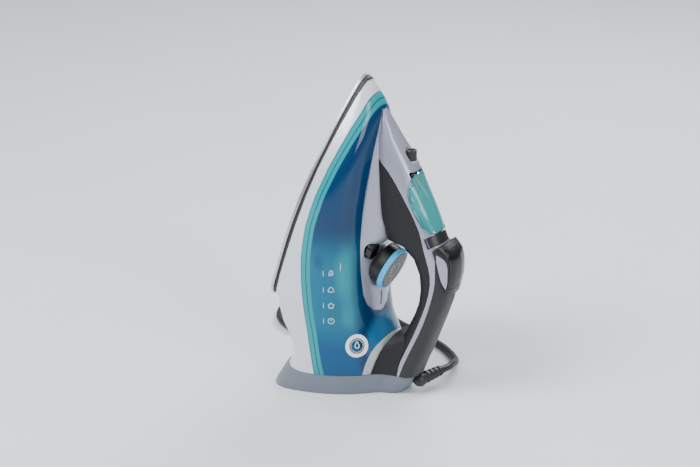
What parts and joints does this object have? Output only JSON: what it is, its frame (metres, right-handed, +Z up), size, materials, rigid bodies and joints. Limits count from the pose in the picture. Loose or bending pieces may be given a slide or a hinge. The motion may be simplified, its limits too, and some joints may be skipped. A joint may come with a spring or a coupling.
{
  "type": "steam iron",
  "caption": "Steam iron standing on its heel: water tank, temperature dial, closed handle with steam and spray buttons, filling door, soleplate, and a coiled mains cord with its plug.",
  "frame": {"origin": "on the surface that the iron stands on, under the middle of its heel", "axes": "+Z up, from the heel to the nose; +X from the soleplate towards the handle; +Y across the iron"},
  "size_m": [0.2768, 0.3055, 0.3035],
  "materials": {
    "pearl_white_plastic": "pearlescent, semi-gloss",
    "tank_blue_plastic": "translucent, glossy",
    "silver_lilac_plastic": "metallic lacquer, satin",
    "charcoal_plastic": "fine grain",
    "soft_touch": "soft-touch",
    "gloss_black_plastic": "glossy",
    "heel_grey_plastic": "satin",
    "dial_blue_plastic": "satin",
    "dial_grey_plastic": "satin",
    "turquoise_clear": "transparent tint, glossy",
    "clear_plastic": "transparent, glossy",
    "soleplate_metal": "satin",
    "cast_aluminium": "as cast",
    "steel": "bright",
    "brass": "bright",
    "shield_grey_plastic": "heat-resistant, matt",
    "white_nylon": "natural",
    "silicone": "matt",
    "flex_black": "smooth",
    "board_green": "varnished"
  },
  "bodies": {
    "base": {"soleplate": "soleplate_metal", "heater_casting": "cast_aluminium", "heating_element": "steel", "steam_chamber_cover": "cast_aluminium", "heat_shield": "shield_grey_plastic", "thermostat": "brass", "thermal_fuse": "white_nylon", "drip_valve": "brass", "self_clean_spring": "steel", "dial_base": "gloss_black_plastic", "shaft_tube": "tank_blue_plastic", "door_hinge_pin": "steel", "fill_well": "charcoal_plastic", "filling_neck": "white_nylon", "lever_track": "silver_lilac_plastic", "skirt": "pearl_white_plastic", "tank_shell": "tank_blue_plastic", "tank_rim": "clear_plastic", "tank_floor": "tank_blue_plastic", "saddle_cover": "silver_lilac_plastic", "pilot_lens": "turquoise_clear", "heel_cover": "heel_grey_plastic", "heel_screw_1": "steel", "heel_screw_2": "steel", "heel_screw_3": "steel", "rear_foot": "charcoal_plastic", "grip_inner": "charcoal_plastic", "upper_cover": "silver_lilac_plastic", "grip_back": "soft_touch", "button_hood": "gloss_black_plastic", "hood_inlay_left": "silver_lilac_plastic", "hood_inlay_right": "silver_lilac_plastic", "spray_pump": "white_nylon", "spray_button_spring": "steel", "steam_pump": "white_nylon", "steam_button_spring": "steel", "steam_hose": "silicone", "spray_hose": "silicone", "spray_nozzle": "gloss_black_plastic", "handle_frame": "white_nylon", "mains_leads": "flex_black", "cord": "flex_black", "cord_coil": "flex_black", "cord_tail": "flex_black", "cord_tie": "flex_black", "plug_body": "flex_black", "plug_pin_left": "steel", "plug_pin_right": "steel", "terminal_block": "white_nylon", "auto_off_board": "board_green"},
    "dial": {"dial_ring": "dial_blue_plastic", "dial_face": "dial_grey_plastic", "dial_shaft": "steel"},
    "door": {"fill_door": "turquoise_clear"},
    "lever": {"steam_lever": "gloss_black_plastic"},
    "valve_needle": {"needle": "steel"},
    "spray_key": {"spray_button": "gloss_black_plastic"},
    "steam_key": {"steam_button": "gloss_black_plastic"},
    "self_clean_key": {"self_clean_button": "gloss_black_plastic"},
    "cord_swivel": {"cord_guard": "flex_black"}
  },
  "joints": [
    {"name": "dial_turn", "type": "hinge", "parent": "base", "child": "dial", "pos_m": [0.0496, 0, 0.119], "axis": [0.9205, 0, -0.3907], "range_deg": [0, 270]},
    {"name": "door_open", "type": "hinge", "parent": "base", "child": "door", "pos_m": [0.07082, 0, 0.21569], "axis": [0, -1, 0], "range_deg": [0, 70]},
    {"name": "steam_lever_swing", "type": "hinge", "parent": "base", "child": "lever", "pos_m": [0.0836, 0, 0.1547], "axis": [-0.4305, 0, 0.9026], "range_deg": [0, 36]},
    {"name": "needle_lift", "type": "slide", "parent": "base", "child": "valve_needle", "axis": [0.9483, 0, -0.3174], "range_m": [0, 0.0025]},
    {"name": "spray_button_press", "type": "slide", "parent": "base", "child": "spray_key", "axis": [-1, 0, 0], "range_m": [0, 0.0025], "stiffness_N_per_m": 600, "springref_m": -0.004, "deforming": ["spray_button_spring"]},
    {"name": "steam_button_press", "type": "slide", "parent": "base", "child": "steam_key", "axis": [-1, 0, 0], "range_m": [0, 0.0025], "stiffness_N_per_m": 600, "springref_m": -0.004, "deforming": ["steam_button_spring"]},
    {"name": "self_clean_press", "type": "slide", "parent": "base", "child": "self_clean_key", "axis": [-0.9483, 0, 0.3174], "range_m": [0, 0.003], "stiffness_N_per_m": 500, "springref_m": -0.003, "deforming": ["self_clean_spring"]},
    {"name": "cord_guard_twist", "type": "hinge", "parent": "base", "child": "cord_swivel", "pos_m": [0.0785, 0, 0.013], "axis": [0.2675, 0.9636, 0], "range_deg": [-170, 170]}
  ],
  "couplings": [
    {"joint": "needle_lift", "follows": "steam_lever_swing", "m_per_rad": 0.003975}
  ]
}
